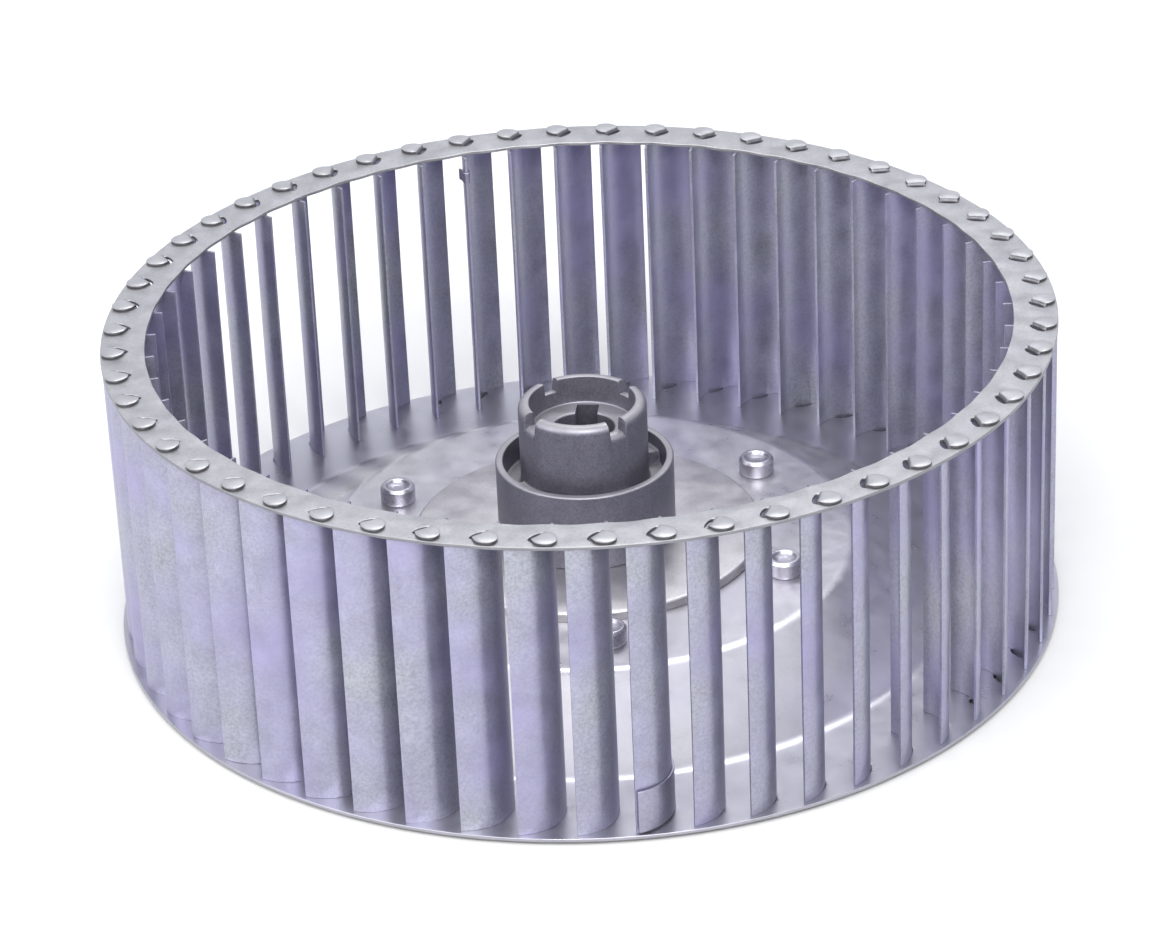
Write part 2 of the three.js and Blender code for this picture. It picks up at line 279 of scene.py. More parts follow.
NOISE_LOW, NOISE_HIGH = 0.3, 0.7  # most of a noise texture's values lie between these
ZINC_SPECKLE_SCALE = 1500.0
ZINC_CLOUD_SCALE = 170.0
ZINC_PATCH_SCALE = 42.0
IRON_GRAIN_SCALE = 2200.0
IRON_CLOUD_SCALE = 220.0
BLOOM_STRENGTH = 0.85


def nodes_of(name):
    """A new node material, with its nodes, links and shader."""
    material = bpy.data.materials.new(name)
    material.use_nodes = True
    tree = material.node_tree
    return material, tree.nodes, tree.links, tree.nodes["Principled BSDF"]


def add_noise(nodes, links, coordinates, scale, detail=3.0, roughness=0.55):
    texture = nodes.new("ShaderNodeTexNoise")
    texture.inputs["Scale"].default_value = scale
    texture.inputs["Detail"].default_value = detail
    texture.inputs["Roughness"].default_value = roughness
    links.new(coordinates, texture.inputs["Vector"])
    return texture.outputs["Fac"]


def ramp(nodes, links, value, stops):
    """A colour that follows a value, through stops of (value, colour)."""
    made = nodes.new("ShaderNodeValToRGB")
    elements = made.color_ramp.elements
    while len(elements) < len(stops):
        elements.new(0.5)
    for element, (place, colour) in zip(elements, stops):
        element.position = place
        element.color = (*colour, 1.0)
    links.new(value, made.inputs["Fac"])
    return made.outputs["Color"]


def mapped(nodes, links, value, low, high):
    """A noise's usual range spread over low to high."""
    made = nodes.new("ShaderNodeMapRange")
    made.inputs["From Min"].default_value = NOISE_LOW
    made.inputs["From Max"].default_value = NOISE_HIGH
    made.inputs["To Min"].default_value = low
    made.inputs["To Max"].default_value = high
    links.new(value, made.inputs["Value"])
    return made.outputs["Result"]


def multiplied(nodes, links, a, b):
    """One colour multiplied by another."""
    made = nodes.new("ShaderNodeMix")
    made.data_type = "RGBA"
    made.blend_type = "MULTIPLY"
    made.inputs[0].default_value = 1.0
    links.new(a, made.inputs[6])
    links.new(b, made.inputs[7])
    return made.outputs[2]


def relief(nodes, links, height, strength, distance):
    """A surface normal roughened by a height; the distance is in millimetres."""
    bump = nodes.new("ShaderNodeBump")
    bump.inputs["Strength"].default_value = strength
    bump.inputs["Distance"].default_value = distance * MM
    links.new(height, bump.inputs["Height"])
    return bump.outputs["Normal"]


def shade(colour, factor):
    """A colour made lighter or darker, and no lighter than white."""
    return tuple(min(c * factor, 1.0) for c in colour)


def axis_distance(nodes, links, coordinates):
    """Distance from the wheel's axis, in metres."""
    flat = nodes.new("ShaderNodeVectorMath")
    flat.operation = "MULTIPLY"
    flat.inputs[1].default_value = (1, 1, 0)
    links.new(coordinates, flat.inputs[0])
    length = nodes.new("ShaderNodeVectorMath")
    length.operation = "LENGTH"
    links.new(flat.outputs["Vector"], length.inputs[0])
    return length.outputs["Value"]


def band(nodes, links, value, low, high):
    """0 below low to 1 above high, both in the value's own unit."""
    made = nodes.new("ShaderNodeMapRange")
    made.interpolation_type = "SMOOTHSTEP"
    made.inputs["From Min"].default_value = low
    made.inputs["From Max"].default_value = high
    links.new(value, made.inputs["Value"])
    return made.outputs["Result"]


def blend(nodes, links, base, colour, factor):
    """The base colour turning into another colour as the factor rises."""
    made = nodes.new("ShaderNodeMix")
    made.data_type = "RGBA"
    made.inputs[7].default_value = (*colour, 1)
    links.new(factor, made.inputs[0])
    links.new(base, made.inputs[6])
    return made.outputs[2]


def sheet_metal(name, colour, roughness, speckle=0.10, mottle=0.06, bloom=None, bands=(),
                grain=0.18, metallic=0.92):
    """Galvanised sheet: fine speckle over slow cloudy mottling, with matching roughness.

    bloom is the colour that the passivated zinc turns in soft patches. Each of bands is a
    colour with the levels or radii, in millimetres, between which it takes over.
    """
    material, nodes, links, shader = nodes_of(name)
    coordinates = nodes.new("ShaderNodeTexCoord").outputs["Object"]
    fine = add_noise(nodes, links, coordinates, ZINC_SPECKLE_SCALE, 2.0, 0.7)
    cloud = add_noise(nodes, links, coordinates, ZINC_CLOUD_SCALE, 4.0, 0.6)
    base = ramp(nodes, links, fine, [
        (NOISE_LOW, shade(colour, 1 - 1.6 * speckle)),
        (0.5, colour),
        (NOISE_HIGH, shade(colour, 1 + 1.2 * speckle)),
    ])
    if bloom:
        patch = add_noise(nodes, links, coordinates, ZINC_PATCH_SCALE, 2.0, 0.5)
        bloomed = mapped(nodes, links, patch, 0.0, BLOOM_STRENGTH)
        base = blend(nodes, links, base, bloom, bloomed)
    level = nodes.new("ShaderNodeSeparateXYZ")
    links.new(coordinates, level.inputs[0])
    places = {"level": level.outputs["Z"], "radius": axis_distance(nodes, links, coordinates)}
    for tone, measure, low, high in bands:
        share = band(nodes, links, places[measure], low * MM, high * MM)
        base = blend(nodes, links, base, tone, share)
    clouds = ramp(nodes, links, cloud, [
        (NOISE_LOW, shade((1, 1, 1), 1 - 2 * mottle)),
        (NOISE_HIGH, (1, 1, 1)),
    ])
    links.new(multiplied(nodes, links, base, clouds), shader.inputs["Base Color"])
    links.new(mapped(nodes, links, cloud, roughness - 0.06, roughness + 0.08),
              shader.inputs["Roughness"])
    shader.inputs["Metallic"].default_value = metallic
    links.new(relief(nodes, links, fine, grain, 0.05), shader.inputs["Normal"])
    return material


def sintered_iron(name):
    """Dark gunmetal with a fine open grain, with painted light that makes it paler where it faces
    upwards.
    """
    material, nodes, links, shader = nodes_of(name)
    coordinates = nodes.new("ShaderNodeTexCoord").outputs["Object"]
    fine = add_noise(nodes, links, coordinates, IRON_GRAIN_SCALE, 3.0, 0.75)
    cloud = add_noise(nodes, links, coordinates, IRON_CLOUD_SCALE, 3.0, 0.6)
    grains = ramp(nodes, links, fine, [
        (0.30, shade(IRON, 0.72)),
        (0.50, IRON),
        (0.74, shade(IRON, 1.32)),
    ])
    facing = nodes.new("ShaderNodeSeparateXYZ")
    links.new(nodes.new("ShaderNodeNewGeometry").outputs["Normal"], facing.inputs[0])
    # Painted light: faces that point upwards are made paler, as if lit from above.
    painted_top_light = band(nodes, links, facing.outputs["Z"], 0.35, 0.95)
    grains = blend(nodes, links, grains, IRON_PAINTED_TOP_LIGHT, painted_top_light)
    clouds = ramp(nodes, links, cloud, [(0.25, (0.82, 0.82, 0.82)), (0.7, (1, 1, 1))])
    links.new(multiplied(nodes, links, grains, clouds), shader.inputs["Base Color"])
    links.new(mapped(nodes, links, fine, 0.36, 0.50), shader.inputs["Roughness"])
    shader.inputs["Metallic"].default_value = 0.75
    links.new(relief(nodes, links, fine, 0.25, 0.06), shader.inputs["Normal"])
    return material


def pale_floor():
    """Pale seamless paper with a barely seen cloud in its tone."""
    material, nodes, links, shader = nodes_of("floor_paper")
    coordinates = nodes.new("ShaderNodeTexCoord").outputs["Object"]
    cloud = add_noise(nodes, links, coordinates, 8.0, 3.0, 0.5)
    tone = ramp(nodes, links, cloud, [(0.3, (0.51, 0.51, 0.51)), (0.7, (0.53, 0.53, 0.53))])
    links.new(tone, shader.inputs["Base Color"])
    shader.inputs["Roughness"].default_value = 0.9
    shader.inputs["Specular IOR Level"].default_value = 0.1
    return material


# Painted shade: the ring's outer edge face is darkened to stand in for the shadow line under the
# ring's edge.
RING_EDGE_PAINTED_SHADE = (0.26, 0.26, 0.28)
RING_GREY = (0.37, 0.368, 0.38)
# Painted shade: the blades' tabs are darkened from the ring's underside up to the leaf tops. This
# paints a contact shadow round each leaf and hides the folds' reflection.
LEAF_EDGE_PAINTED_SHADE = (0.12, 0.118, 0.13)
BLADE_GREY = (0.36, 0.37, 0.42)
BLOOM = (0.33, 0.31, 0.495)
PLATE_GREY = (0.57, 0.56, 0.575)
PLATE_BLOOM = (0.53, 0.515, 0.58)
# Painted shade and reflection: the plate's outer rim is darker and bluer, standing in for the
# blades' shade and their violet reflection.
PLATE_RIM_PAINTED_SHADE = (0.40, 0.395, 0.44)
FLANGE_GREY = (0.50, 0.485, 0.50)
RIVET_GREY = (0.41, 0.40, 0.455)
CLIP_GREY = (0.36, 0.35, 0.44)
IRON = (0.175, 0.17, 0.21)
# Painted light: the colour that the hub's upward faces turn, for the light that falls on them from
# above.
IRON_PAINTED_TOP_LIGHT = (0.30, 0.29, 0.31)

# The band at the ring's outer radius is painted shade, the dark shadow line under its edge.
RING_METAL = sheet_metal("ring_galvanised", RING_GREY, 0.42, 0.06, 0.09, bands=[
    (RING_EDGE_PAINTED_SHADE, "radius", RING_OUTER - 0.12, RING_OUTER - 0.03),
])
# The blades' first band paints shade on the tabs above the ring's underside. The second gives the
# leaf tops the ring's grey.
BLADE_METAL = sheet_metal("blade_galvanised", BLADE_GREY, 0.36, 0.13, 0.08, BLOOM, [
    (LEAF_EDGE_PAINTED_SHADE, "level", RING_UNDER - 0.5, RING_UNDER + 0.5),
    (RING_GREY, "level", RING_TOP + 0.50, RING_TOP + 0.66),
], metallic=0.78)
# The band at the plate's outer radius is painted shade and painted reflection of the blades.
PLATE_METAL = sheet_metal("plate_galvanised", PLATE_GREY, 0.32, 0.04, 0.05, PLATE_BLOOM, [
    (PLATE_RIM_PAINTED_SHADE, "radius", PLATE_RIM_INNER - 4, PLATE_RIM_INNER + 4),
], grain=0.04)
FLANGE_METAL = sheet_metal("flange_zinc", FLANGE_GREY, 0.36, 0.05, 0.05, grain=0.05)
RIVET_METAL = sheet_metal("rivet_zinc", RIVET_GREY, 0.29, 0.04, 0.04, grain=0.05)
CLIP_METAL = sheet_metal("clip_steel", CLIP_GREY, 0.38, 0.08, 0.08)
HUB_METAL = sintered_iron("hub_sintered")
FLOOR = pale_floor()


# ---- Blades ----

# A blade is drawn about the middle of its section: +X outwards along the section, +Y to its
# convex side. Its blank is laid out flat, along the section and up, and then bent.

SECTION_HALF = BLADE_TURN * BLADE_ARC_RADIUS / 2
FOLD_RADIUS = 0.45
LEAF_DOME = 0.2
LEAF_DOME_START = 1.2  # distance past the fold over which the leaf's dome rises
BLADE_SWAY = 0.12  # most that a hand-set blade bows out at mid height
BLADE_TOP = RING_UNDER - CONTACT
BLADE_BOTTOM = PLATE_RIM_TOP + CONTACT
HALF_HEIGHT = (BLADE_TOP - BLADE_BOTTOM) / 2
UPPER_LEAF = RING_TOP + BLADE_SHEET / 2 + CONTACT
LOWER_LEAF = PLATE_UNDER - BLADE_SHEET / 2 - CONTACT
NECK_LENGTH = UPPER_LEAF - FOLD_RADIUS - BLADE_TOP
FOLD_LENGTH = FOLD_RADIUS * math.pi / 2
LEAF_REACH = NECK_LENGTH + FOLD_LENGTH + LEAF_LENGTH - FOLD_RADIUS
TAB_TURN = TAB_ALONG / BLADE_ARC_RADIUS
CONVEX = Vector((math.sin(TAB_TURN), math.cos(TAB_TURN), 0))


def blade_frame(index):
    """The place and turn of one blade's section in the wheel."""
    angle = FIRST_BLADE_ANGLE + index * BLADE_STEP
    return Matrix.Translation(polar(BLADE_RADIUS, angle)) @ Matrix.Rotation(
        angle - BLADE_SETTING, 4, "Z")


def on_section(along, z, out=0.0):
    """A point on the blade's section, at its mid thickness or out from it."""
    turn = along / BLADE_ARC_RADIUS
    radius = BLADE_ARC_RADIUS + out
    return Vector((radius * math.sin(turn), radius * math.cos(turn) - BLADE_ARC_RADIUS, z))


def bent(along, up):
    """Where a point of the flat blank goes: up is 0 at mid height, and past the strip's ends
    the tab runs through its slot and folds over flat."""
    middle = (BLADE_TOP + BLADE_BOTTOM) / 2
    beyond = abs(up) - HALF_HEIGHT
    side = 1 if up > 0 else -1
    if beyond <= NECK_LENGTH:
        return on_section(along, middle + up)
    leaf_level = UPPER_LEAF if side > 0 else LOWER_LEAF
    fold_level = leaf_level - side * FOLD_RADIUS
    if beyond <= NECK_LENGTH + FOLD_LENGTH:
        turn = (beyond - NECK_LENGTH) / FOLD_RADIUS
        z = fold_level + side * FOLD_RADIUS * math.sin(turn)
        return on_section(along, z) + CONVEX * FOLD_RADIUS * (1 - math.cos(turn))
    out = FOLD_RADIUS + beyond - NECK_LENGTH - FOLD_LENGTH
    across = (along - TAB_ALONG) / (LEAF_WIDTH / 2)
    lengthways = max(out - LEAF_LENGTH * 0.4, 0) / (LEAF_LENGTH * 0.6)
    rim = min(math.hypot(across, lengthways), 1.0)
    dome = LEAF_DOME * (1 - rim ** 3) * smooth((out - FOLD_RADIUS) / LEAF_DOME_START)
    return on_section(along, leaf_level + side * dome) + CONVEX * out


def tab_outline():
    """The flat tab's edge from the strip's end, round its leaf and back. The leaf spreads
    from the narrow neck to its widest place, and ends round."""
    neck = TAB_WIDTH / 2
    wide = LEAF_WIDTH / 2
    start = NECK_LENGTH + FOLD_LENGTH
    shoulder = start + LEAF_SHOULDER
    side = []
    for t in span(0, 1, 6):
        side.append((neck + (wide - neck) * math.sin(t * math.pi / 2), start + LEAF_SHOULDER * t))
    end = []
    for angle in span(0, math.pi, 16)[1:-1]:
        end.append((wide * math.cos(angle), shoulder + (LEAF_REACH - shoulder) * math.sin(angle)))
    return [(neck, 0.0)] + side + end + [(-x, y) for x, y in reversed(side)] + [(-neck, 0.0)]


def inside(point, outline):
    """Whether a flat point lies inside a closed outline."""
    x, y = point
    found = False
    for (x1, y1), (x2, y2) in zip(outline, outline[1:] + outline[:1]):
        if (y1 > y) != (y2 > y) and x < x1 + (y - y1) * (x2 - x1) / (y2 - y1):
            found = not found
    return found


def triangulate(points, loops, keep):
    """Triangles over flat points, with the loops' edges kept; keep says which ones stay."""
    flat = [Vector(p) for p in points]
    edges = []
    for loop in loops:
        start = len(flat)
        flat += [Vector(p) for p in loop]
        edges += [(start + i, start + (i + 1) % len(loop)) for i in range(len(loop))]
    spots, _, faces, *_ = delaunay_2d_cdt(flat, edges, [], 0, 1e-5)
    kept = []
    for face in faces:
        centre = sum((spots[i] for i in face), Vector((0, 0))) / len(face)
        if keep(centre):
            kept.append(list(face))
    return [tuple(s) for s in spots], kept


def blade_blank():
    """Points and triangles of the flat blank: the strip with a tab at each end."""
    half = HALF_HEIGHT
    columns = span(-SECTION_HALF, SECTION_HALF, 20)
    rows = span(-half, half, 8)
    strip = [(-SECTION_HALF, -half), (SECTION_HALF, -half), (SECTION_HALF, half),
             (-SECTION_HALF, half)]
    tab = tab_outline()
    upper = [(TAB_ALONG + x, half + y) for x, y in tab]
    lower = [(TAB_ALONG - x, -half - y) for x, y in tab]
    points = [(x, y) for x in columns for y in rows]
    neck = [0.0, NECK_LENGTH * 0.5, NECK_LENGTH]
    fold = [NECK_LENGTH + FOLD_LENGTH * t for t in (0.25, 0.5, 0.75, 1.0)]
    leaf = [fold[-1] + (LEAF_REACH - fold[-1]) * t for t in (0.12, 0.25, 0.4, 0.55, 0.7, 0.85)]
    shrunk = [(a * 0.93, b - 0.12) for a, b in tab]
    for up in neck + fold:
        for x in span(-TAB_WIDTH / 2, TAB_WIDTH / 2, 6)[1:-1]:
            points.append((TAB_ALONG + x, half + up))
            points.append((TAB_ALONG - x, -half - up))
    for up in leaf:
        for x in span(-LEAF_WIDTH / 2, LEAF_WIDTH / 2, 8):
            if inside((x, up), shrunk):
                points.append((TAB_ALONG + x, half + up))
                points.append((TAB_ALONG - x, -half - up))

    def keep(centre):
        if abs(centre.y) < half:
            return True
        return inside(centre, upper if centre.y > 0 else lower)

    return triangulate(points, [strip, upper, lower], keep)


BLANK_POINTS, BLANK_FACES = blade_blank()


def make_blade(index):
    """One blade, bowed a little in or out as hand-set blades are."""
    name = f"blade_{index + 1:02d}"
    place = blade_frame(index)
    sway = RANDOM.uniform(-BLADE_SWAY, BLADE_SWAY)
    points = []
    for along, up in BLANK_POINTS:
        point = bent(along, up)
        level = (point.z - BLADE_BOTTOM) / (BLADE_TOP - BLADE_BOTTOM)
        bow = math.sin(math.pi * min(max(level, 0), 1))
        points.append(place @ (point + Vector((0, sway * bow, 0))))
    made = mesh_object(f"{name}_sheet", points, BLANK_FACES)
    tidy_mesh(made)
    thicken(made, BLADE_SHEET, 0.0)
    soften(made, 0.12, 2, 50)
    finish_piece(made, BLADE_METAL, "blade_steel", name)


# ---- Slotted sheet rims: the inlet ring and the back plate ----

SECTOR_COLUMNS = 10
SECTOR_START = FIRST_BLADE_ANGLE - BLADE_STEP * 0.60
SLOT_LENGTH = 4.4
SLOT_CONVEX_SIDE = 0.38
SLOT_CONCAVE_SIDE = 1.35


def slot_outline(index):
    """The slot of one blade as (angle, radius) pairs, wider on the blade's concave side."""
    place = blade_frame(index)
    edge = []
    for side, clear in ((-1, SLOT_CONCAVE_SIDE), (1, SLOT_CONVEX_SIDE)):
        for t in span(-1, 1, 6):
            along = TAB_ALONG - side * t * SLOT_LENGTH / 2
            out = side * clear * (1 - 0.75 * t * t) ** 0.5
            spot = place @ on_section(along, 0, out)
            edge.append((math.atan2(spot.y, spot.x), math.hypot(spot.x, spot.y)))
    return edge


def slotted_rim(inner, outer, rows, level):
    """Points and faces of a flat annulus with one slot for each blade."""
    middle = (inner + outer) / 2
    angles = [SECTOR_START + BLADE_STEP * i / SECTOR_COLUMNS for i in range(SECTOR_COLUMNS + 1)]
    radii = span(inner, outer, rows)
    slot = [(a * middle, r) for a, r in slot_outline(0)]
    grown = [(a + (a - FIRST_BLADE_ANGLE * middle) * 0.12, r) for a, r in slot]
    points = [(a * middle, r) for a in angles for r in radii
              if not inside((a * middle, r), grown)]
    rim = [(angles[0] * middle, inner), (angles[-1] * middle, inner),
           (angles[-1] * middle, outer), (angles[0] * middle, outer)]
    flat, faces = triangulate(points, [rim, slot], lambda c: not inside(c, slot))
    all_points, all_faces = [], []
    for index in range(BLADE_COUNT):
        base = len(all_points)
        turn = index * BLADE_STEP
        for x, r in flat:
            angle = x / middle + turn
            all_points.append(polar(r, angle, level(r, angle)))
        all_faces += [[base + i for i in face] for face in faces]
    return all_points, all_faces


def ring_level(radius, angle):
    """The pressed ring's top is very slightly uneven, and dips between the blades."""
    phase = (angle - FIRST_BLADE_ANGLE) / BLADE_STEP * TAU
    inner_dip = 0.22 * smooth((RING_INNER + 3 - radius) / 3) * (1 - math.cos(phase - 0.6)) / 2
    outer_dip = 0.06 * smooth((radius - RING_OUTER + 2) / 2)
    spot = polar(radius / 6.0, angle)
    ripple = 0.06 * noise.noise(spot)
    dimple_angle = (phase - 2.6 + math.pi) % TAU - math.pi
    dimple = 0.16 * math.exp(-((dimple_angle / 0.7) ** 2) - ((radius - 101) / 2.5) ** 2)
    return RING_TOP - inner_dip - outer_dip + ripple - dimple


def make_ring():
    """The inlet ring, a slotted annulus of sheet."""
    points, faces = slotted_rim(RING_INNER, RING_OUTER, 12, ring_level)
    made = mesh_object("inlet_ring_sheet", points, faces)
    tidy_mesh(made)
    upward(made)
    thicken(made, SHEET, -1.0)
    soften(made, 0.16, 3, 50)
    finish_piece(made, RING_METAL, "ring_steel", "inlet_ring")


DISH_START = 86.4  # where the flat slotted rim hands over to the turned dish
DISH_STEP = 2.5  # about the longest step along the dish's line
DISH_INNER = FLANGE_BOSS_RADIUS + 0.15
BEND_RADIUS = 5.5


def plate_rim_level(radius, angle):
    """The plate's rim is very slightly uneven."""
    spot = polar(radius / 14.0, angle, 3.0)
    return PLATE_RIM_TOP + 0.06 * noise.noise(spot) * smooth((radius - DISH_START) / 4)


def make_plate():
    """The dished back plate: its slotted rim, and the cone and raised flat turned inside it."""
    points, faces = slotted_rim(DISH_START, PLATE_OUTER, 14, plate_rim_level)
    line = rounded_line([(DISH_START, PLATE_RIM_TOP), (PLATE_RIM_INNER, PLATE_RIM_TOP),
                         (PLATE_FLAT_OUTER, PLATE_FLAT_TOP), (DISH_INNER, PLATE_FLAT_TOP)],
                        BEND_RADIUS, 8)
    fine = [line[0]]
    for a, b in zip(line, line[1:]):
        steps = max(1, round((b - a).length / DISH_STEP))
        fine += [a.lerp(b, i / steps) for i in range(1, steps + 1)]
    columns = BLADE_COUNT * SECTOR_COLUMNS
    base = len(points)
    for spot in fine:
        for i in range(columns):
            angle = SECTOR_START + TAU * i / columns
            wave = 0.05 * noise.noise(polar(spot.x / 20, angle, 7.0))
            wave *= smooth((DISH_START - spot.x) / 4) * smooth((spot.x - DISH_INNER) / 4)
            points.append(polar(spot.x, angle, spot.y + wave))
    for row in range(len(fine) - 1):
        for i in range(columns):
            j = (i + 1) % columns
            a, b = base + row * columns, base + (row + 1) * columns
            faces.append([a + i, a + j, b + j, b + i])
    made = mesh_object("back_plate_sheet", points, faces)
    tidy_mesh(made, 0.004)
    upward(made)
    thicken(made, SHEET, -1.0)
    soften(made, 0.14, 2, 50)
    finish_piece(made, PLATE_METAL, "plate_steel", "back_plate")


# ---- Turned pieces: flange, rivets and hub ----

def turned(name, line, angles, closed=True, warp=None):
    """A profile turned about the axis at the given angles; warp may move each point."""
    points = []
    for angle in angles:
        for spot in line:
            radius, level = warp(spot.x, spot.y, angle) if warp else (spot.x, spot.y)
            points.append(polar(radius, angle, level))
    rows = len(line)
    faces = []
    for i in range(len(angles)):
        a, b = i * rows, ((i + 1) % len(angles)) * rows
        for k in range(rows if closed else rows - 1):
            n = (k + 1) % rows
            faces.append([a + k, b + k, b + n, a + n])
    made = mesh_object(name, points, faces)
    tidy_mesh(made)
    return made


def make_flange():
    """The flange: a disc below the plate, with a boss that stands up through it."""
    bore = HUB_SPIGOT_RADIUS + 0.2
    line = round_corners(
        [(bore, FLANGE_UNDER), (FLANGE_RADIUS, FLANGE_UNDER), (FLANGE_RADIUS, FLANGE_TOP),
         (FLANGE_BOSS_RADIUS, FLANGE_TOP), (FLANGE_BOSS_RADIUS, BOSS_TOP), (bore, BOSS_TOP)],
        [0.2, 0.6, 0.6, 0.3, 0.7, 0.2])
    made = turned("hub_flange_disc", line, even_angles(180))
    soften(made, angle=35)
    finish_piece(made, FLANGE_METAL, "flange_steel", "hub_flange")


def make_rivet(index):
    """A round head with a raised rolled rim round a dished top, and a domed tail."""
    bottom = PLATE_FLAT_TOP + CONTACT
    top = bottom + RIVET_HEAD_HEIGHT
    tail = FLANGE_UNDER
    crest = RIVET_HEAD - RIVET_RIM_INSET
    dish = crest - RIVET_WALL
    corners = [(0, tail - 1.9), (RIVET_SHANK, tail - 1.8), (RIVET_REAR_HEAD - 0.1, tail - 0.5),
               (RIVET_REAR_HEAD, tail - CONTACT), (RIVET_SHANK, tail - CONTACT),
               (RIVET_SHANK, bottom), (RIVET_HEAD - 0.1, bottom),
               (RIVET_HEAD, bottom + 0.5), (RIVET_HEAD, top - 0.75), (crest, top),
               (dish + 0.1, top), (dish - 0.35, top - 0.7), (dish - 1.1, top - RIVET_DISH),
               (0, top - RIVET_DISH - 0.05)]
    line = round_corners(corners, [0, 0.8, 0.5, 0.1, 0, 0, 0.15, 0.4, 0.35, 0.28, 0.28, 0.3,
                                   0.5, 0])
    made = turned(f"rivet_{index + 1}", line, even_angles(48), closed=False)
    angle = FIRST_RIVET_ANGLE + index * TAU / RIVET_COUNT
    made.data.transform(Matrix.Translation(polar(RIVET_CIRCLE, angle) * MM))
    soften(made, angle=40)
    finish_piece(made, RIVET_METAL, "flange_steel", "hub_flange")


BOSS_WALL_MIDDLE = HUB_BOSS_RADIUS - HUB_BOSS_WALL / 2
GROOVE_MIDDLE = 16.4
NOTCH_EDGE = 0.22  # half the width of the slope at each side of a notch
RIB_EDGE = 0.35  # half the width of the tight columns at each side of a rib
RIB_SLOPE = 0.04  # angle over which a rib rises, in radians
TOUCH = 0.05  # slack for telling which wall a point is on


def edge_angles():
    """Angles for the hub's columns: even ones, and tight groups at each step in its walls."""
    wall = BOSS_WALL_MIDDLE
    groups = []
    for middle in NOTCH_ANGLES:
        groups += [(middle + s * NOTCH_WIDTH / 2 / wall, NOTCH_EDGE / wall) for s in (-1, 1)]
        groups += [(middle + s * RIB_HALF_ANGLE, RIB_EDGE / GROOVE_MIDDLE) for s in (-1, 1)]
    groups += [(KEYWAY_ANGLE + s * math.asin(KEYWAY_WIDTH / 2 / BORE), 0.02) for s in (-1, 1)]
    groups += [(KEYWAY_ANGLE + s * math.atan(KEYWAY_WIDTH / 2 / KEYWAY_REACH), 0.012)
               for s in (-1, 1)]
    tight = [middle + width * t for middle, width in groups for t in (-1, -0.5, 0, 0.5, 1)]
    even = [a for a in even_angles(144)
            if all(near(a, m) > w * 1.6 for m, w in groups)]
    return sorted({round(a % TAU, 5) for a in tight + even})


def hub_warp(radius, level, angle):
    """Sinks the rim's notches, raises the groove's ribs and pushes out the keyway."""
    away = min(near(angle, m) for m in NOTCH_ANGLES)
    wall = BOSS_WALL_MIDDLE
    in_notch = 1 - smooth((away - (NOTCH_WIDTH / 2 - NOTCH_EDGE) / wall) / (2 * NOTCH_EDGE / wall))
    if radius < HUB_BOSS_RADIUS + TOUCH and level > HUB_TOP - HUB_RIM_ROUND - TOUCH:
        level -= NOTCH_DEPTH * in_notch
    rib = 1 - smooth((away - RIB_HALF_ANGLE + RIB_SLOPE / 2) / RIB_SLOPE)
    in_groove = HUB_BOSS_RADIUS - TOUCH < radius < HUB_CUP_INNER + TOUCH
    if in_groove and level < GROOVE_FLOOR + 0.8:
        level += (HUB_GROOVE_DEPTH - RIB_DROP) * rib
    if radius < KEYWAY_REACH + 0.4 and level < RECESS_FLOOR + 0.5:
        across = near(angle, KEYWAY_ANGLE)
        if across < math.asin(KEYWAY_WIDTH / 2 / BORE) + 1e-4:
            side = KEYWAY_WIDTH / 2 / max(math.sin(across), 1e-6)
            reach = min(side, KEYWAY_REACH / math.cos(across))
            radius = max(radius, reach)
    return radius, level


def make_hub():
    """The hub: bore, collar, spigot, cup, groove, boss and recess in one turned profile."""
    cup_bottom = BOSS_TOP + CONTACT
    collar_top = FLANGE_UNDER - CONTACT
    recess = HUB_BOSS_RADIUS - HUB_BOSS_WALL
    corners = [(BORE, HUB_LOW.z), (HUB_COLLAR_RADIUS, HUB_LOW.z),
               (HUB_COLLAR_RADIUS, collar_top), (HUB_SPIGOT_RADIUS, collar_top),
               (HUB_SPIGOT_RADIUS, cup_bottom), (HUB_CUP_RADIUS, cup_bottom),
               (HUB_CUP_RADIUS, CUP_TOP), (HUB_CUP_INNER, CUP_TOP),
               (HUB_CUP_INNER, GROOVE_FLOOR), (HUB_BOSS_RADIUS, GROOVE_FLOOR),
               (HUB_BOSS_RADIUS, HUB_TOP), (recess, HUB_TOP), (recess, RECESS_FLOOR),
               (BORE, RECESS_FLOOR)]
    radii = [0.4, 0.8, 0.4, 0.2, 0.2, 0.3, 0.5, 0.3, 0.6, 0.6, HUB_RIM_ROUND, 0.3, 0.4, 0.45]
    line = round_corners(corners, radii, 5)
    made = turned("hub_casting", line, edge_angles(), warp=hub_warp)
    soften(made, angle=38)
    finish_piece(made, HUB_METAL, "hub_iron", "hub")


# ---- Balance clips ----

CLIP_FLARE = 0.4  # how far the convex leg springs away from the blade at its free end


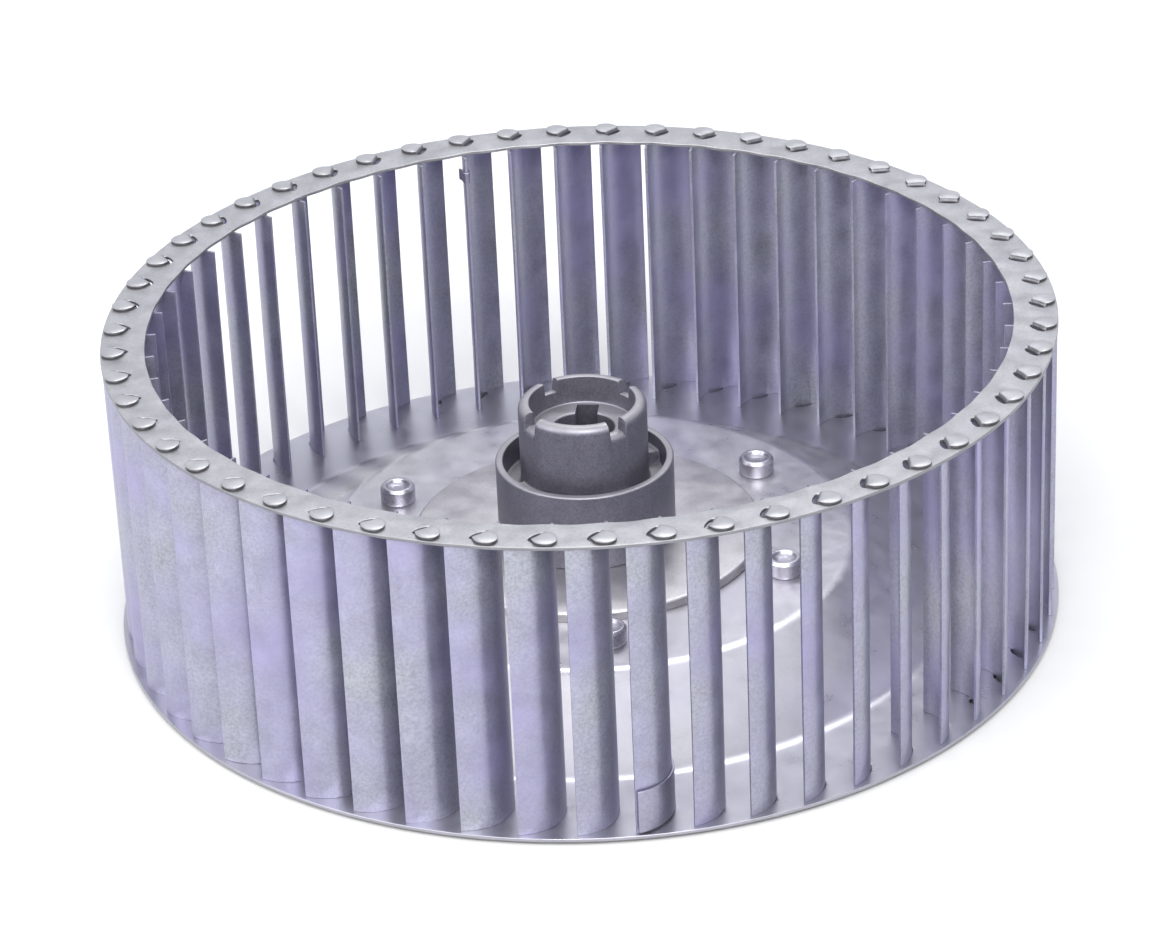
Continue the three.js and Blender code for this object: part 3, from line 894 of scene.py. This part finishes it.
def make_clip(name, blade, convex_leg, concave_leg, bulge, rear_rise):
    """A strip folded over the blade's inner edge, with a leg along each face; the rear leg may
    stand taller."""
    low, high = in_mm(name)
    clear = BLADE_SHEET / 2 + CLIP_SHEET / 2 + 0.03
    edge = -SECTION_HALF
    line = [(edge + convex_leg * t, clear + CLIP_FLARE * smooth(t * 2.2 - 1.2))
            for t in span(1, 0, 14)]
    line += [(edge - bulge * math.sin(a), clear * math.cos(a)) for a in span(0, math.pi, 8)[1:-1]]
    line += [(edge + concave_leg * t, -clear) for t in span(0, 1, 6)]
    place = blade_frame(blade)
    rows = 6
    points = []
    for along, out in line:
        rise = rear_rise * smooth(-out / clear)
        spots = [on_section(along, z, out) for z in span(low.z, high.z + rise, rows)]
        points += [place @ spot for spot in spots]
    faces = []
    for i in range(len(line) - 1):
        for k in range(rows):
            a = i * (rows + 1) + k
            faces.append([a, a + rows + 1, a + rows + 2, a + 1])
    made = mesh_object(f"{name}_strip", points, faces)
    tidy_mesh(made)
    thicken(made, CLIP_SHEET, 0.0)
    soften(made, 0.08, 2, 50)
    finish_piece(made, CLIP_METAL, "clip_steel", name)


# ---- Stage, light and camera ----

FLOOR_HALF = 3000
LIGHT_TARGET = (0, 0, 0.035)  # the wheel's middle, in metres


def make_floor():
    """The paper that the wheel stands on, at the frame's zero level."""
    size = FLOOR_HALF
    points = [(-size, -size, 0), (size, -size, 0), (size, size, 0), (-size, size, 0)]
    made = mesh_object("floor", points, [[0, 1, 2, 3]])
    made.data.materials.append(FLOOR)


def make_light(name, place, size, power):
    """A rectangular lamp aimed at the wheel, in metres and watts."""
    data = bpy.data.lights.new(name, "AREA")
    data.shape = "RECTANGLE"
    data.size, data.size_y = size
    data.energy = power
    lamp = bpy.data.objects.new(name, data)
    bpy.context.scene.collection.objects.link(lamp)
    lamp.location = place
    aim = Vector(LIGHT_TARGET) - Vector(place)
    lamp.rotation_euler = aim.to_track_quat("-Z", "Y").to_euler()


STUDIO_BRIGHT_SIDE = Vector((-0.30, -0.85, 0.40))
STUDIO_STRENGTH = 2.8


def make_world():
    """A pale studio, brightest behind the camera and up to the left."""
    world = bpy.data.worlds.new("studio")
    bpy.context.scene.world = world
    world.use_nodes = True
    nodes, links = world.node_tree.nodes, world.node_tree.links
    background = nodes["Background"]
    coordinates = nodes.new("ShaderNodeTexCoord").outputs["Generated"]
    facing = nodes.new("ShaderNodeVectorMath")
    facing.operation = "DOT_PRODUCT"
    facing.inputs[1].default_value = STUDIO_BRIGHT_SIDE.normalized()
    links.new(coordinates, facing.inputs[0])
    spread = nodes.new("ShaderNodeMapRange")
    spread.inputs["From Min"].default_value = -1.0
    links.new(facing.outputs["Value"], spread.inputs["Value"])
    tone = ramp(nodes, links, spread.outputs["Result"], [
        (0.0, (0.36, 0.37, 0.41)),
        (0.65, (0.40, 0.41, 0.44)),
        (0.88, (1.0, 1.0, 1.0)),
    ])
    links.new(tone, background.inputs["Color"])
    background.inputs["Strength"].default_value = STUDIO_STRENGTH


# The camera was fitted to the photo's ring, plate edge and blade spacing.
CAMERA_PLACE = Vector((-1.95, -842.4, RING_TOP + 408.2)) * MM
CAMERA_LENS = 132.9
CAMERA_ELEVATION = math.radians(27.85)
CAMERA_ROLL = math.radians(-2.57)


def make_camera():
    """The photo's camera."""
    data = bpy.data.cameras.new("camera")
    data.sensor_width = 36
    data.lens = CAMERA_LENS
    data.clip_start, data.clip_end = 0.01, 20
    camera = bpy.data.objects.new("camera", data)
    bpy.context.scene.collection.objects.link(camera)
    turn = Matrix.Rotation(math.pi / 2 - CAMERA_ELEVATION, 4, "X") @ Matrix.Rotation(
        CAMERA_ROLL, 4, "Z")
    camera.matrix_world = Matrix.Translation(CAMERA_PLACE) @ turn
    bpy.context.scene.camera = camera


# ---- Assembly ----

make_camera()
make_world()
make_floor()
make_light("left", (-1.2, -0.5, 0.7), (0.8, 0.8), 6)
make_light("front", (0.1, -1.1, 1.2), (0.9, 0.6), 17)
make_light("back", (0.15, 0.75, 1.2), (0.7, 0.25), 5)

make_ring()
make_plate()
make_flange()
for rivet in range(RIVET_COUNT):
    make_rivet(rivet)
make_hub()
for blade in range(BLADE_COUNT):
    make_blade(blade)
make_clip("balance_clip_lower", LOWER_CLIP_BLADE, 2 * SECTION_HALF - LOWER_CLIP_SHORT,
          LOWER_CLIP_REAR_LEG, 1.0, LOWER_CLIP_REAR_RISE)
make_clip("balance_clip_upper", UPPER_CLIP_BLADE, UPPER_CLIP_LEG, UPPER_CLIP_LEG, 0.55, 0.0)

bpy.context.scene.view_settings.view_transform = "Standard"
